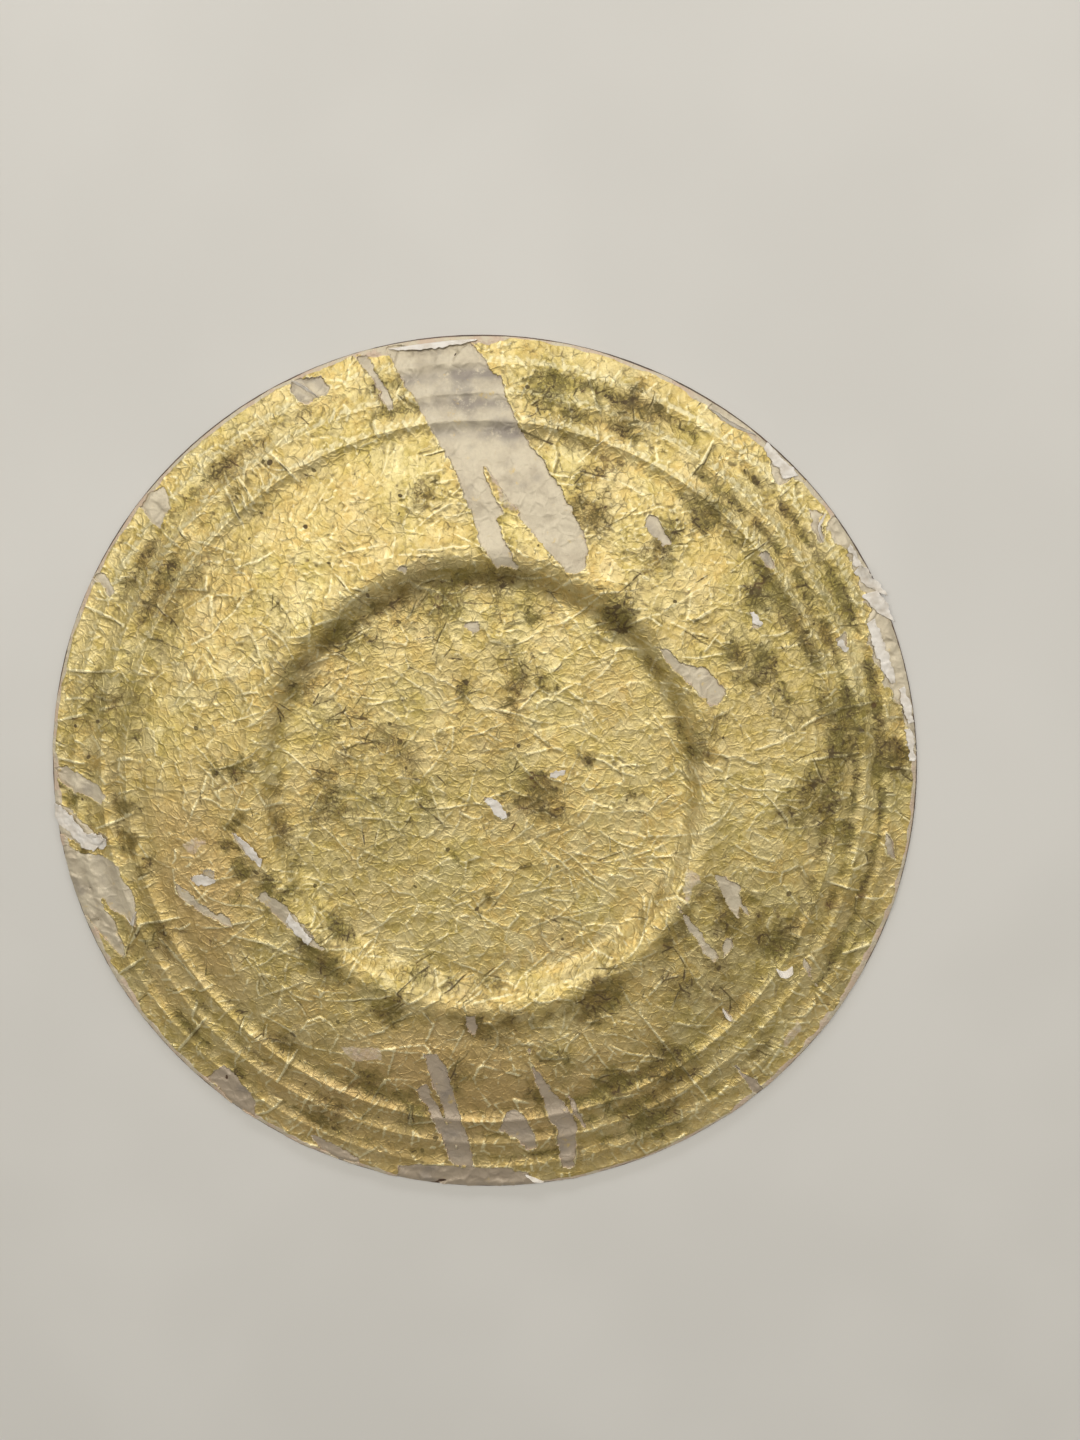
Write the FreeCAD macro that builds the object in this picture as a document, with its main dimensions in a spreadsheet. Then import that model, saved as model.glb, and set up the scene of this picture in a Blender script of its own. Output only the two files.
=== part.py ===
"""Round display plate, 330 mm across: a moulded board core with two paper plies glued to its face.

The plate lies on its rim with the papered face up. Z is the plate's axis, and z = 0 is the flat seat
under the rim. All sizes are in millimetres.
"""
import FreeCAD, Part
import Sketcher
import os
from FreeCAD import Vector

doc = FreeCAD.newDocument("display_plate")

# ---------------------------------------------------------------- driving dimensions
# Corners of the core's face, from the well outwards: radius, height, and the bow of the arc that
# arrives at the corner (above the chord where positive, hollow where negative, straight where 0).
FACE = [
    ("well_edge", 74.0, 5.0, 0.0),
    ("wall_middle", 81.0, 8.4, -0.75),
    ("lip_end", 91.0, 10.2, 1.25),
    ("shoulder_waist", 104.0, 9.1, -0.35),
    ("shoulder_end", 127.0, 6.7, 0.5),
    ("first_crest", 134.3, 7.2, -0.9),
    ("second_crest", 144.3, 5.9, -1.0),
    ("third_crest", 155.0, 4.0, -1.1),
    ("rim_break", 162.6, 2.75, -0.5),
    ("paper_end", 164.3, 2.0, 0.0),
]

# Corners of the core's edge and back, from the paper's end round to the axis.
BACK = [
    ("edge_top", 165.0, 1.4, 0.15),
    ("edge_low", 165.0, 0.7, 0.0),
    ("seat_outside", 164.3, 0.0, -0.15),
    ("seat_inside", 157.5, 0.0, 0.0),
    ("back_shoulder", 127.0, 4.1, 0.0),
    ("back_lip_outside", 92.0, 7.5, 0.4),
    ("back_lip_inside", 83.5, 6.6, 0.9),
    ("back_well_edge", 75.5, 2.3, 0.0),
]

PLIES = [
    ("lining_thickness", 0.25),
    ("gold_thickness", 0.35),
]

# Openings torn through the gold ply, as outlines seen from above.
TEARS = {
    "top_strip": [
        (-33, 160), (-29, 151), (-18, 133), (-6.5, 112), (-1, 95), (6.5, 82), (14, 80.5), (8, 94),
        (9, 101), (1, 119), (12, 105), (22, 91), (33, 80), (38, 80.5), (39.5, 92), (27, 115),
        (15, 133), (8, 150), (-3, 161),
    ],
    "top_left_patch": [(-69, 145), (-66, 148), (-57, 150), (-53.5, 146.5), (-62, 141.5)],
    "upper_left_patch": [(-117, 111), (-125, 104), (-120, 97), (-115, 104)],
    "left_strip": [(-162, 6), (-153, 2), (-146, -4), (-147, -8), (-157, -3.5)],
    "left_rim_patch": [
        (-160, -27), (-149, -28.5), (-140.5, -35), (-135.5, -50), (-136, -57), (-146, -49),
        (-142.5, -62), (-141, -69), (-152, -57), (-157, -45),
    ],
    "lip_strip": [(-87.5, -45), (-84, -43), (-77, -48.5), (-62, -66), (-71, -61), (-82, -51)],
    "low_strip_left": [(-24, -109), (-19, -108.5), (-12, -128), (-4.5, -154), (-10.5, -154), (-15, -139)],
    "low_strip_middle": [(6, -141), (10, -132.5), (15, -134), (20.5, -148), (13, -145)],
    "low_strip_right": [
        (17.5, -106), (28, -125), (36.5, -138), (35.5, -154), (31, -154), (28.5, -141), (22.5, -125),
    ],
    "right_lip_patch": [(66, 52), (84, 44.5), (92, 34), (86, 31), (75, 41)],
    "upper_right_patch": [(61, 97), (66, 100), (71.5, 89.5), (64, 94)],
    "right_rim_patch": [(102, 126), (106.5, 115), (109.5, 111), (116, 113), (110, 120)],
    "lower_right_patch": [(89, -35.5), (98.5, -39.5), (102, -51), (95.5, -49)],
}

# The tool that cuts them starts at z = 0 and ends above the face.
TEAR_TOOL_HEIGHT = 20.0


def make_sheet():
    """The spreadsheet: one row for each size, with its name in A and its value in B."""
    sheet = doc.addObject("Spreadsheet::Sheet", "Sizes")
    rows = []
    for name, radius, height, bow in FACE + BACK:
        rows.append((name + "_radius", radius))
        rows.append((name + "_height", height))
        if bow:
            rows.append((name + "_bow", abs(bow)))
    rows.extend(PLIES)
    rows.append(("tear_tool_height", TEAR_TOOL_HEIGHT))
    for index, (alias, value) in enumerate(rows, start=1):
        sheet.set(f"A{index}", alias.replace("_", " "))
        sheet.set(f"B{index}", str(value))
        sheet.setAlias(f"B{index}", alias)
    doc.recompute()
    return sheet


sheet = make_sheet()


# ---------------------------------------------------------------- outlines
class Corner:
    """A corner of a profile: its radius and height as expressions of the sheet's cells."""

    def __init__(self, radius, height, bow="0", side=0):
        self.radius = radius
        self.height = height
        self.bow = bow
        self.side = side

    def point(self):
        return Vector(
            float(sheet.evalExpression(self.radius)),
            float(sheet.evalExpression(self.height)),
            0,
        )


def sized_corner(name, bow, lift=""):
    """The corner that the sheet's cells describe, raised by the expression lift."""
    side = (bow > 0) - (bow < 0)
    return Corner(
        f"Sizes.{name}_radius",
        f"Sizes.{name}_height{lift}",
        f"Sizes.{name}_bow" if side else "0",
        side,
    )


def face_corners(lift=""):
    """The face from the axis out to the paper's end, raised by the expression lift."""
    corners = [Corner("0", f"Sizes.well_edge_height{lift}")]
    corners += [sized_corner(name, bow, lift) for name, _, _, bow in FACE]
    return corners


def turned_back(corners):
    """The same run of corners from its end to its start, each arc kept on its own side."""
    result = []
    for index in range(len(corners) - 1, -1, -1):
        this = corners[index]
        after = corners[index + 1] if index + 1 < len(corners) else None
        bow, side = (after.bow, after.side) if after else ("0", 0)
        result.append(Corner(this.radius, this.height, bow, side))
    return result


def arc_middle(first, last, bow, side):
    """The arc's middle point: the chord's middle, moved by the bow up or down, square to the chord."""
    along = last - first
    square = Vector(-along.y, along.x, 0).normalize()
    if square.y < 0:
        square = square * -1
    return (first + last) / 2 + square * (bow * side)


def segment(first, last):
    """A straight line, or an anticlockwise arc whose middle stands off its chord by the bow."""
    start, end = first.point(), last.point()
    if not last.side:
        return Part.LineSegment(start, end)
    middle = arc_middle(start, end, float(sheet.evalExpression(last.bow)), last.side)
    if (middle - start).cross(end - middle).z < 0:
        start, end = end, start
    return Part.Arc(start, middle, end)


def radius_expression(first, last):
    """The radius of an arc from its chord and its bow."""
    run = f"({last.radius} - ({first.radius}))"
    rise = f"({last.height} - ({first.height}))"
    return f"({run}^2 + {rise}^2) / (8 * {last.bow}) + {last.bow} / 2"


def end_number(sketch, index, point):
    """1 if point is the geometry's start, or 2 if it is its end."""
    return 1 if sketch.Geometry[index].StartPoint.distanceToPoint(point) < 1e-4 else 2


def corner_constraints(sketch, before, after, corner):
    """Joins two segments at the corner and ties it to its radius and height."""
    point = corner.point()
    end = end_number(sketch, after, point)
    joined = Sketcher.Constraint("Coincident", before, end_number(sketch, before, point), after, end)
    made = [(joined, None)]
    for value, expression, word, axis in (
        (point.x, corner.radius, "DistanceX", -2),
        (point.y, corner.height, "DistanceY", -1),
    ):
        if abs(value) < 1e-9:
            made.append((Sketcher.Constraint("PointOnObject", after, end, axis), None))
        else:
            made.append((Sketcher.Constraint(word, -1, 1, after, end, value), expression))
    return made


def add_bound(sketch, made):
    """Adds the constraints in one go and binds each one that has an expression."""
    numbers = sketch.addConstraint([constraint for constraint, _ in made])
    for number, (_, expression) in zip(numbers, made):
        if expression:
            sketch.setExpression(f"Constraints[{number}]", expression)


def origin_plane(body, role):
    return next(feature for feature in body.Origin.OriginFeatures if feature.Role == role)


def new_sketch(body, name, role):
    sketch = body.newObject("Sketcher::SketchObject", name)
    sketch.AttachmentSupport = [(origin_plane(body, role), "")]
    sketch.MapMode = "FlatFace"
    return sketch


def turned_body(label, corners):
    """A body turned from the closed profile through corners, about the plate's axis."""
    body = doc.addObject("PartDesign::Body", label)
    body.Label = label
    sketch = new_sketch(body, label + "_profile", "XZ_Plane")
    pairs = list(zip(corners, corners[1:] + corners[:1]))
    sketch.addGeometry([segment(first, last) for first, last in pairs], False)
    made = []
    for number, (corner, following) in enumerate(pairs):
        made += corner_constraints(sketch, (number - 1) % len(pairs), number, corner)
        if following.side:
            expression = radius_expression(corner, following)
            radius = float(sheet.evalExpression(expression))
            made.append((Sketcher.Constraint("Radius", number, radius), expression))
    add_bound(sketch, made)
    turned = body.newObject("PartDesign::Revolution", label + "_turned")
    turned.Profile = sketch
    turned.ReferenceAxis = (sketch, ["V_Axis"])
    turned.Angle = 360.0
    body.Tip = turned
    doc.recompute()
    return body


# ---------------------------------------------------------------- sub-parts
def make_core():
    """The moulded core: the face, the rounded edge, the seat under the rim and the hollow back."""
    corners = face_corners()
    corners += [sized_corner(name, bow) for name, _, _, bow in BACK]
    corners.append(Corner("0", "Sizes.back_well_edge_height"))
    return turned_body("plate_core", corners)


def make_ply(label, below, above):
    """A paper ply over the whole face, between two heights above the core."""
    corners = turned_back(face_corners(below))
    return turned_body(label, face_corners(above) + corners)


def tear_openings(body):
    """Cuts the torn openings through the ply."""
    whole = body.Shape.Volume
    sketch = new_sketch(body, "torn_outlines", "XY_Plane")
    for outline in TEARS.values():
        points = [Vector(x, y, 0) for x, y in outline]
        sides = sketch.addGeometry(
            [Part.LineSegment(a, b) for a, b in zip(points, points[1:] + points[:1])], False
        )
        sketch.addConstraint([Sketcher.Constraint("Block", side) for side in sides])
    pocket = body.newObject("PartDesign::Pocket", "torn_openings")
    pocket.Profile = sketch
    pocket.Type = "Length"
    pocket.Reversed = True
    pocket.setExpression("Length", "Sizes.tear_tool_height")
    body.Tip = pocket
    doc.recompute()
    if not body.Shape.Volume < whole - 1.0:
        raise RuntimeError("the torn openings cut nothing out of " + body.Label)


core = make_core()
lining = make_ply("lining_paper", "", " + Sizes.lining_thickness")
gold = make_ply(
    "gold_paper",
    " + Sizes.lining_thickness",
    " + Sizes.lining_thickness + Sizes.gold_thickness",
)
tear_openings(gold)

# ---------------------------------------------------------------- checks and files
for item in doc.Objects:
    if "Invalid" in item.State or "Error" in item.State:
        raise RuntimeError(f"{item.Label} is {item.State}")

os.makedirs("parts", exist_ok=True)
for body in (core, lining, gold):
    shape = body.Shape
    if shape.isNull() or not shape.isValid():
        raise RuntimeError(body.Label + " has no valid shape")
    print(f"{body.Label}: {shape.Volume / 1000:.1f} cm3, {len(shape.Solids)} solid")
    shape.exportStep(f"parts/{body.Label}.step")
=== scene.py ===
import math
import bpy
import numpy as np
from mathutils import Euler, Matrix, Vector


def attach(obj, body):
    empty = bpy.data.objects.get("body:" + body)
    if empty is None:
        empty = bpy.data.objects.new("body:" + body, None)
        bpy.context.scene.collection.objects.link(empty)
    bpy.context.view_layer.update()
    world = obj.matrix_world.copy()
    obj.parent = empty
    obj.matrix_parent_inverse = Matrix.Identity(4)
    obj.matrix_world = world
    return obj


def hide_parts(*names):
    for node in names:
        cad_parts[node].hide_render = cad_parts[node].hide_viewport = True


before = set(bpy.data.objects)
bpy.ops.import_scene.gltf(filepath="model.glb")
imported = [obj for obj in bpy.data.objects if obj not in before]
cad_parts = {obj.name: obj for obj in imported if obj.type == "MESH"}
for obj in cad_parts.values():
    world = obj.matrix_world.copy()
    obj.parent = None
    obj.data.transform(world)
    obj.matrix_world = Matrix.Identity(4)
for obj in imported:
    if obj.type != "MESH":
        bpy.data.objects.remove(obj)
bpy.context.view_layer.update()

# A round display plate, face up: a lacquered core, a white tissue ply glued over its face, and over that a
# crinkled antique-gold tissue ply, torn in places. Shapes below are in millimetres of the plate's own frame
# (x right, y up, z out of the face), and MM turns them into Blender's metres.
MM = 0.001

# ------------------------------------------------------------------------------ the plate's face
# Corners of the core's face, as in the CAD part: radius, height, bow of the arc that arrives there.
FACE = [
    (74.0, 5.0, 0.0),       # edge of the flat well
    (81.0, 8.4, -0.75),     # middle of the well's wall
    (91.0, 10.2, 1.25),     # rounded lip
    (104.0, 9.1, -0.35),    # waist of the shoulder
    (127.0, 6.7, 0.5),      # end of the shoulder
    (134.3, 7.2, -0.9),     # first crest
    (144.3, 5.9, -1.0),     # second crest
    (155.0, 4.0, -1.1),     # third crest
    (162.6, 2.75, -0.5),    # break of the rim
    (164.3, 2.0, 0.0),      # end of the papers
]
WELL_RADIUS = FACE[0][0]
CRESTS = [FACE[5][0], FACE[6][0], FACE[7][0]]
PAPER_RADIUS = FACE[-1][0]
LINING_LIFT = 0.25
GOLD_LIFT = 0.6
CREASE_EASE = 0.7          # how far paper rounds off a sharp crease

# Every place below is where the eye sees it against the plane of the rim, so on_face moves it to the face.
EYE = (30.0, 80.9, 407.0)
DRAWING_HEIGHT = 1.6

# Openings torn through the gold ply.
TEARS = {
    "top_strip": [
        (-33, 160.5), (-30.5, 155), (-29, 151), (-24, 144), (-18, 133), (-11, 122), (-6.5, 112),
        (-3.5, 103), (-1, 95), (0.5, 90), (3, 86), (6.5, 81.5), (10, 82), (14, 80.5), (14.5, 82),
        (10.5, 88), (7.5, 95), (6, 100), (9, 101.5), (5, 109), (1, 119), (3, 118.5), (7, 112), (12, 105),
        (17, 98), (22, 91), (28, 85), (32, 81), (35, 79.5), (38, 80.5), (40, 84), (39.5, 92), (35, 101),
        (32, 108), (27, 115), (24, 120), (19, 126), (15, 133), (11, 141), (8, 150), (4, 154), (1, 158),
        (-3, 162.5),
    ],
    "top_sliver": [
        (-45, 157.5), (-40, 158), (-35, 150), (-31.5, 144), (-30.5, 138.5), (-32.5, 139), (-36, 146),
        (-40, 151), (-43, 155),
    ],
    "top_left_patch": [
        (-69, 146), (-66, 150), (-57, 151), (-53.5, 146.5), (-55, 144.5), (-62, 141.5), (-66, 142),
    ],
    "upper_left_patch": [
        (-117, 111.5), (-121, 110), (-126, 104), (-121, 98), (-119, 97), (-117, 99), (-115, 104),
        (-115.5, 110),
    ],
    "upper_left_sliver": [(-144, 78.5), (-141, 80), (-137.5, 73), (-139, 71.5), (-141, 75)],
    "left_strip": [
        (-164, 6), (-160, 7), (-153, 2), (-147.5, -1), (-145.5, -5), (-147, -8), (-152, -5.5), (-157, -3.5),
        (-162, 1.5),
    ],
    "left_fold": [
        (-166, -6), (-160, -10), (-150, -19.5), (-146, -20), (-145, -22.5), (-150, -24.5), (-157, -24),
        (-166, -17),
    ],
    "left_rim_patch": [
        (-166, -24), (-161, -24.5), (-156, -28), (-149, -28.5), (-143, -31), (-140.5, -36), (-138, -42),
        (-135.5, -50), (-136, -57), (-139.5, -54), (-145, -50.5), (-149, -45.5), (-147.5, -51),
        (-144.5, -55), (-142.5, -62), (-140, -68.5), (-142.5, -69.5), (-148, -63), (-153, -57), (-158, -48),
        (-163, -38),
    ],
    "left_shoulder_strip": [
        (-119, -40.5), (-116.5, -42), (-111, -46.5), (-105, -51), (-99, -53.5), (-97.5, -58), (-102, -56),
        (-107, -53), (-113, -49), (-118, -45),
    ],
    "left_curl_strip": [(-96.5, -19.5), (-93, -23), (-88, -29), (-85.5, -31), (-88.5, -30.5), (-93, -26)],
    "left_curl_patch": [(-113, -38), (-108, -34.5), (-104.5, -35), (-105, -38), (-110, -39)],
    "lip_strip": [
        (-87.5, -45), (-85, -43), (-80.5, -45.5), (-77, -48.5), (-71, -55.5), (-66, -62), (-62, -66),
        (-66, -66), (-71, -61), (-77, -57), (-82, -51),
    ],
    "low_strip_left": [
        (-24, -109), (-19, -108.5), (-15, -116), (-12, -128), (-8.5, -140), (-5.5, -150), (-4.5, -156),
        (-10.5, -156), (-12, -147), (-15, -139), (-17.5, -128), (-21.5, -119),
    ],
    "low_strip_beside": [
        (-27, -123.5), (-23.5, -122), (-20, -129), (-14.5, -139.5), (-11.5, -147), (-10.5, -156),
        (-14.5, -154), (-17.5, -145), (-21, -135), (-25.5, -128),
    ],
    "low_strip_right": [
        (17, -105), (18, -105), (17.6, -110), (22, -117), (28, -125), (33, -131), (36.5, -138), (36, -147),
        (35.5, -156), (31, -156.5), (29.5, -149), (28.5, -141), (25, -134), (22.5, -125), (18.5, -115),
    ],
    "low_sliver": [(32.5, -125), (35.5, -128), (38, -134), (40.5, -140), (38, -138), (34.5, -132)],
    "low_middle_patch": [
        (6, -141), (7.5, -136), (10, -132.5), (15, -134), (18.5, -141), (20.5, -148), (17, -149),
        (13, -145), (9, -143.5),
    ],
    "low_lip_patch": [(-7, -93.5), (-4, -93), (-3, -97), (-4, -101), (-6.5, -99)],
    "low_rim_band": [
        (-35, -156.5), (-27, -155.5), (-14, -156.5), (10, -157), (17, -159), (22, -162.8), (22, -168),
        (-36, -168),
    ],
    "low_left_rim_patch": [
        (-104, -114.5), (-100, -117.5), (-96, -123), (-92, -129), (-92.5, -136), (-101, -130), (-107, -123),
        (-112, -119),
    ],
    "low_left_rim_sliver": [
        (-70, -143.5), (-66, -144.5), (-58, -149), (-51, -153), (-50, -156), (-58, -154), (-66, -150),
    ],
    "right_lip_patch": [
        (66, 52), (70, 51), (74, 47), (79, 44), (84, 44.5), (88, 41), (91.5, 36), (92, 34), (89, 30),
        (85.5, 31), (80, 37), (75, 41), (70.5, 45.5), (68, 50),
    ],
    "upper_right_patch": [
        (61, 97), (62.5, 100.5), (66, 100), (67, 96), (70, 93), (71.5, 89.5), (68, 90), (63.5, 94),
    ],
    "upper_right_sliver": [(103, 88.5), (107, 86), (109, 81.5), (106.5, 82), (103.5, 86)],
    "right_speck_high": [(100.5, 65), (103, 63.5), (104.5, 59.5), (102, 60)],
    "right_speck_low": [(133, 55), (136, 57), (136.5, 51), (134.5, 52)],
    "right_rim_band_high": [(84, 139), (88, 134.5), (99, 130), (104, 129.5), (112, 130), (90, 148)],
    "right_rim_triangle": [
        (102, 129), (105.5, 125), (107, 119.5), (106.5, 115), (109.5, 111), (115, 114), (119, 112.5),
        (124, 117), (110, 132),
    ],
    "right_rim_notch": [
        (120.5, 103), (122, 99), (121.5, 97), (126, 90.5), (127, 93), (125, 98), (127, 101),
    ],
    "right_rim_band": [
        (127.5, 95), (129.5, 94), (131, 90), (135, 89), (135.5, 85.5), (138, 83), (138, 80.5), (140.5, 79),
        (140, 75), (143, 72.5), (142, 68.5), (145, 66), (143.5, 61), (146, 58.5), (144.5, 54), (147, 50.5),
        (147, 46), (150.5, 43), (151, 38.5), (154.5, 36), (155, 32), (158.5, 29), (159, 24), (161.5, 20),
        (161, 15), (164, 11), (170, 12), (160, 60), (142, 100), (129, 100),
    ],
    "right_low_sliver": [(154, -18), (156, -22), (158, -29), (155, -27)],
    "lower_right_patch": [
        (89, -35.5), (93.5, -36), (98.5, -39.5), (100, -46), (103, -52), (99, -48), (98.5, -52.5),
        (95.5, -49), (92.5, -43),
    ],
    "lower_right_strip": [
        (75.5, -48), (79.5, -52.5), (83, -57), (87, -63), (91, -68.5), (89.5, -70), (85, -65), (80, -58),
        (77.5, -53),
    ],
    "lower_right_chip": [(92.5, -62.5), (94.5, -60.5), (97, -61.5), (96, -65), (93.5, -68)],
    "lower_right_sliver": [
        (124.5, -69), (126, -71), (129, -78.5), (131.5, -81.5), (127.5, -78), (125, -73),
    ],
    "lower_right_dot": [(93.5, -89), (95, -89), (97.5, -94.5), (95.5, -93)],
    "lower_right_rim_sliver": [(99, -113), (101.5, -116), (107, -119), (113, -127), (105, -122)],
    "well_top_patch": [(-5.5, 60), (-4, 62), (-1, 61.5), (-0.5, 58.5), (-3, 57)],
    "well_middle_patch": [(1, -6), (4.5, -6), (9.5, -12), (8, -13.5), (5, -11)],
    "lip_left_dot": [(-30, 81), (-28, 82.5), (-26.5, 81), (-28, 79.5)],
}

# Places where the gold is rubbed thin and the white shows through it.
RUBBED = [
    [(79, -33), (83, -34), (85, -39), (82, -41), (80.5, -45), (78.5, -47), (76.5, -41), (78.5, -36)],
    [(-59, -104.5), (-54, -105.5), (-41, -106.5), (-40, -112.5), (-46, -112), (-53, -112), (-56, -108)],
    [
        (-117, -24), (-113, -21), (-111, -20.5), (-109.5, -21.5), (-106.5, -21), (-106.5, -25),
        (-109.5, -26.5), (-111.5, -28.5), (-114.5, -28),
    ],
    [(2, 119), (9, 103), (16, 100), (9, 110), (4, 119)],
    [(122.5, -93.5), (125.5, -97), (123.5, -100), (120, -105), (117, -106.5), (117, -102), (119.5, -98.5)],
]

# Stretches of rim where the gold is worn off its outer edge: from, to (degrees from +x), depth.
RIM_WEAR = [
    (-52, -18, 3.0), (-15, 8, 2.0), (8, 62, 2.6), (62, 80, 1.6), (88, 103, 4.0), (108, 132, 1.6),
    (135, 175, 1.8), (177, 212, 3.6), (212, 240, 2.4), (240, 285, 2.0), (285, 306, 1.4),
]

# Dark webs of patina: x, y, radius, strength.
BLOTCHES = [
    (23, -5.5, 10, 1.25), (37, 11, 3.5, 1.1), (26, 8, 3, 1.0), (-42, 58, 12, 0.7), (53, 66, 9, 0.8),
    (102, 71, 8, 0.7), (101, 44, 10, 1.0), (113, 32, 5, 0.9), (136, 25, 7, 1.0), (155, 11, 6, 1.0),
    (134, 17, 5, 0.9), (-92, 9, 6, 1.3), (-101, 8, 2.5, 1.0), (-93.5, -15.5, 4, 1.2), (-97, -25, 3, 1.3),
    (-97, -33, 4, 1.2), (-84, -38, 4, 1.1), (-95, -47, 5, 1.0), (-74, -44, 4, 1.1), (-134, 18, 4, 0.9),
    (-136, -7, 4, 0.9), (-136, -22, 4, 1.0), (-130, -32, 4, 0.9), (-156, -8.5, 3, 1.1),
    (-161, -1, 2.5, 1.1), (-153, -26.5, 3, 1.1), (84, 99, 7, 0.8), (68, -134, 10, 0.9), (128, -8, 10, 0.8),
    (135, -12, 8, 0.7), (117, -14, 7, 0.7), (-36, -90, 8, 1.1), (3, -98, 8, 1.0), (43, -88, 9, 0.9),
    (16, -125, 7, 0.9), (13, 47, 12, 0.4), (-58, -4, 12, 0.6), (-7, 37, 3.5, 1.1), (13, 37, 4.5, 1.15),
    (12, 52, 3, 1.0), (24, 39, 3.5, 1.0), (30, 48, 2.5, 0.9), (20, 64, 4, 1.1), (12, 30, 3, 1.1),
    (15, -34, 2, 1.2), (-50, -2, 3, 1.0), (-54, 22, 3, 0.9), (-11, -32, 2, 1.0), (4, -43, 2.5, 0.9),
    (-53, -58, 3, 1.1), (57, -8, 5, 0.8), (-70, 40, 8, 0.7), (-62, -70, 7, 1.1), (25, 145, 14, 0.7),
    (58, 138, 12, 0.6), (-20, 68, 14, 0.5), (12, 70, 14, 0.5), (90, 20, 10, 0.5), (98, -52, 12, 0.8),
    (-118, 80, 14, 0.4), (-140, 30, 12, 0.3), (84, 12, 9, 0.5), (30, -58, 9, 0.6), (48, 112, 10, 0.8),
    (40, 100, 9, 0.8), (66, 88, 9, 0.8), (-96, 118, 12, 0.4), (-10, -118, 10, 0.6), (70, -112, 10, 0.6),
    (118, 25, 10, 0.5), (-128, -62, 7, 0.6), (84, -76, 14, 0.7), (112, -58, 10, 0.6), (-25, -131, 9, 0.7),
    (28, -112, 8, 0.6), (-46, -122, 9, 0.6), (54, -122, 9, 0.7), (-62, -135, 9, 0.6), (0, -136, 8, 0.6),
    (-78, -104, 8, 0.5), (-30, 148, 10, 0.5), (-20, 108, 6, 0.8), (-34, 14, 38, 0.42),
]

# Folds pressed across the flutes and the shoulder: the line, and the ridge's height.
PLEATS = [
    ([(-163, 10), (-152, 7.5)], 0.6), ([(-150, -18), (-142, -15), (-135, -12)], 0.6),
    ([(-140, -66), (-134, -56), (-118, -53)], 0.7), ([(-145, -77), (-133, -69)], 0.6),
    ([(-122, -108), (-110, -94)], 0.9), ([(-83, -121), (-74, -107)], 0.8),
    ([(60, -90), (83, -120), (89, -128)], 0.6), ([(-149, 68), (-139, 63.5), (-134, 60)], 0.7),
    ([(-158, 44), (-146, 43), (-137, 43.5)], 0.7), ([(-94, 112), (-87, 96)], 0.7),
    ([(-89, 115.5), (-83, 105)], 0.6), ([(-77, 124), (-66, 113)], 0.6),
    ([(120, 22), (135, 29), (150, 32)], 0.6), ([(122, 9), (143, 12)], 0.6), ([(150, 7), (163, 6)], 0.5),
    ([(142, -33), (150, -30)], 0.5), ([(-136, -54), (-139, -62), (-141.5, -70)], 0.4),
    ([(-113, -79), (-122, -67), (-131, -58)], 0.3), ([(139, -67), (150, -63)], 1.0),
    ([(132, -38), (146, -42)], 0.5), ([(-164, 24), (-150, 27)], 0.5), ([(40, 150), (44, 138)], 0.6),
    ([(86, 128), (80, 116)], 0.6), ([(-100, -60), (-84, -64), (-72, -70)], 0.5),
]

# ------------------------------------------------------------------------------ fields over the face
FIELD_STEP = 0.25
FIELD_HALF = 168.0
AXIS = np.arange(-FIELD_HALF, FIELD_HALF + FIELD_STEP / 2, FIELD_STEP)
X, Y = np.meshgrid(AXIS, AXIS)
R = np.hypot(X, Y)
ANGLE = np.degrees(np.arctan2(Y, X))


def smooth_step(low, high, value):
    t = np.clip((value - low) / (high - low), 0.0, 1.0)
    return t * t * (3.0 - 2.0 * t)


def raw_face_height(radius):
    """The core's height at each radius, its arcs drawn as parabolas of the same bow."""
    height = np.full(radius.shape, FACE[0][1])
    for (r0, z0, _), (r1, z1, bow) in zip(FACE, FACE[1:]):
        t = (radius - r0) / (r1 - r0)
        steepness = math.hypot(r1 - r0, z1 - z0) / (r1 - r0)
        arc = z0 + (z1 - z0) * t + 4.0 * bow * steepness * t * (1.0 - t)
        height = np.where((t >= 0) & ((t <= 1) | (r1 == PAPER_RADIUS)), arc, height)
    return height


PROFILE_STEP = 0.05
PROFILE_RADII = np.arange(0.0, 175.0, PROFILE_STEP)


def eased_profile():
    """The face's profile with every corner rounded off over CREASE_EASE, but never deep in the core."""
    reach = int(4 * CREASE_EASE / PROFILE_STEP)
    offsets = np.arange(-reach, reach + 1) * PROFILE_STEP
    weights = np.exp(-0.5 * (offsets / CREASE_EASE) ** 2)
    raw = raw_face_height(PROFILE_RADII)
    eased_height = np.convolve(np.pad(raw, reach, mode="edge"), weights / weights.sum(), mode="valid")
    return np.maximum(eased_height, raw - 0.05)


PROFILE = eased_profile()


def face_height(radius):
    return np.interp(radius, PROFILE_RADII, PROFILE)


def lattice_noise(x, y, size, seed):
    """Smooth noise from -1 to 1, its bumps about size across."""
    count = 256
    grid = np.random.default_rng(seed).uniform(-1.0, 1.0, (count, count))
    u, v = x / size + 60.5, y / size + 60.5
    i, j = np.floor(u).astype(int), np.floor(v).astype(int)
    fu, fv = u - i, v - j
    fu, fv = fu * fu * (3 - 2 * fu), fv * fv * (3 - 2 * fv)
    i0, j0, i1, j1 = i % count, j % count, (i + 1) % count, (j + 1) % count
    low = grid[i0, j0] * (1 - fu) + grid[i1, j0] * fu
    high = grid[i0, j1] * (1 - fu) + grid[i1, j1] * fu
    return low * (1 - fv) + high * fv


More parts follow.
